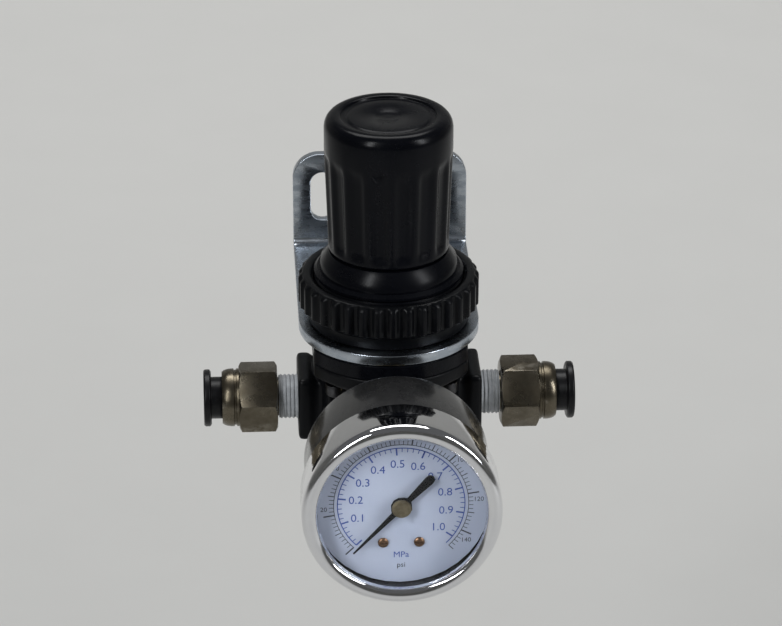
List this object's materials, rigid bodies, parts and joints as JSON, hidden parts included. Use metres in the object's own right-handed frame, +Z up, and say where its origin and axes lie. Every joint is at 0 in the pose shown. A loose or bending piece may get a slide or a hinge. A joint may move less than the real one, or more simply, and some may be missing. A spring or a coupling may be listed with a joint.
{
  "type": "air pressure regulator",
  "caption": "Compact air pressure regulator with adjusting knob, panel nut, angled wall bracket, front dial gauge and push-in tube fittings.",
  "frame": {"origin": "centre line of the bracket's wall face, between its two slots and 30 mm above the port axis", "axes": "+Y out of the wall face towards the wall, +Z up along the knob's axis, -Y the way the gauge looks, X along the two ports"},
  "size_m": [0.083, 0.099, 0.0893],
  "materials": {
    "black_painted_body": "satin black paint on a die casting",
    "black_moulding": "satin black moulding",
    "bracket_zinc": "bright zinc plate",
    "bare_steel": "bare steel",
    "yellow_brass": "machined brass",
    "rubber": "moulded rubber",
    "gauge_case_black": "black paint",
    "bezel_chrome": "polished chrome",
    "window_clear": "clear",
    "dial_white": "white dial with printed scales",
    "pointer_black": "matt black",
    "fitting_nickel": "nickel-plated brass",
    "thread_sealant": "grey baked thread sealant",
    "collar_black": "black moulding"
  },
  "bodies": {
    "housing": {"body": "black_painted_body", "bonnet": "black_moulding", "panel_nut": "black_moulding", "valve_guide": "black_moulding", "bracket": "bracket_zinc", "bonnet_screw_1": "bare_steel", "bonnet_screw_2": "bare_steel", "bonnet_screw_3": "bare_steel", "bonnet_screw_4": "bare_steel", "adjusting_spring": "bare_steel", "valve_spring": "bare_steel", "rear_gauge_plug": "bare_steel", "sector_arbor": "bare_steel", "hairspring": "bare_steel", "grab_ring_left": "bare_steel", "grab_ring_right": "bare_steel", "gauge_connector": "yellow_brass", "dial_screw_left": "yellow_brass", "dial_screw_right": "yellow_brass", "movement_back_plate": "yellow_brass", "movement_front_plate": "yellow_brass", "movement_pillar_left": "yellow_brass", "movement_pillar_right": "yellow_brass", "bourdon_tube": "yellow_brass", "bourdon_tip_link": "yellow_brass", "diaphragm": "rubber", "guide_seal": "rubber", "tube_seal_left": "rubber", "tube_seal_right": "rubber", "gauge_case": "gauge_case_black", "gauge_bezel": "bezel_chrome", "gauge_window": "window_clear", "gauge_dial": "dial_white", "fitting_body_left": "fitting_nickel", "fitting_body_right": "fitting_nickel", "thread_seal_left": "thread_sealant", "thread_seal_right": "thread_sealant"},
    "adjuster": {"adjusting_screw": "bare_steel", "retaining_clip": "bare_steel"},
    "knob": {"knob": "black_moulding"},
    "travelling_nut": {"adjusting_nut": "yellow_brass"},
    "diaphragm_stack": {"diaphragm_plate": "bare_steel", "diaphragm_stud": "yellow_brass"},
    "valve": {"valve_poppet": "yellow_brass", "valve_seal": "rubber"},
    "sector": {"sector_gear": "yellow_brass"},
    "pointer": {"gauge_pointer": "pointer_black", "pointer_arbor": "yellow_brass"},
    "left_collar": {"release_collar_left": "collar_black"},
    "right_collar": {"release_collar_right": "collar_black"}
  },
  "joints": [
    {"name": "knob_turn", "type": "hinge", "parent": "housing", "child": "adjuster", "pos_m": [0, -0.042, 0.025], "axis": [0, 0, -1], "range_deg": [0, 1921]},
    {"name": "knob_lift", "type": "slide", "parent": "adjuster", "child": "knob", "axis": [0, 0, 1], "range_m": [0, 0.0025]},
    {"name": "nut_travel", "type": "slide", "parent": "housing", "child": "travelling_nut", "axis": [0, 0, -1], "range_m": [0, 0.008], "deforming": ["adjusting_spring"]},
    {"name": "diaphragm_travel", "type": "slide", "parent": "housing", "child": "diaphragm_stack", "axis": [0, 0, -1], "range_m": [0, 0.0012], "stiffness_N_per_m": 1500, "deforming": ["diaphragm"]},
    {"name": "valve_travel", "type": "slide", "parent": "housing", "child": "valve", "axis": [0, 0, -1], "range_m": [0, 0.0012], "deforming": ["valve_spring"]},
    {"name": "sector_turn", "type": "hinge", "parent": "housing", "child": "sector", "pos_m": [0, -0.0855, -0.0408], "axis": [0, 1, 0], "range_deg": [-54, 0], "stiffness_Nm_per_rad": 0.005},
    {"name": "pointer_turn", "type": "hinge", "parent": "housing", "child": "pointer", "pos_m": [0, -0.0944, -0.03], "axis": [0, 1, 0], "range_deg": [-0.1, 270.1]},
    {"name": "left_collar_push", "type": "slide", "parent": "housing", "child": "left_collar", "axis": [1, 0, 0], "range_m": [0, 0.0015], "stiffness_N_per_m": 400},
    {"name": "right_collar_push", "type": "slide", "parent": "housing", "child": "right_collar", "axis": [-1, 0, 0], "range_m": [0, 0.0015], "stiffness_N_per_m": 400}
  ],
  "couplings": [
    {"joint": "knob_turn", "follows": "nut_travel", "rad_per_m": 4188.8},
    {"joint": "valve_travel", "follows": "diaphragm_travel", "ratio": 1},
    {"joint": "pointer_turn", "follows": "sector_turn", "ratio": -5}
  ]
}
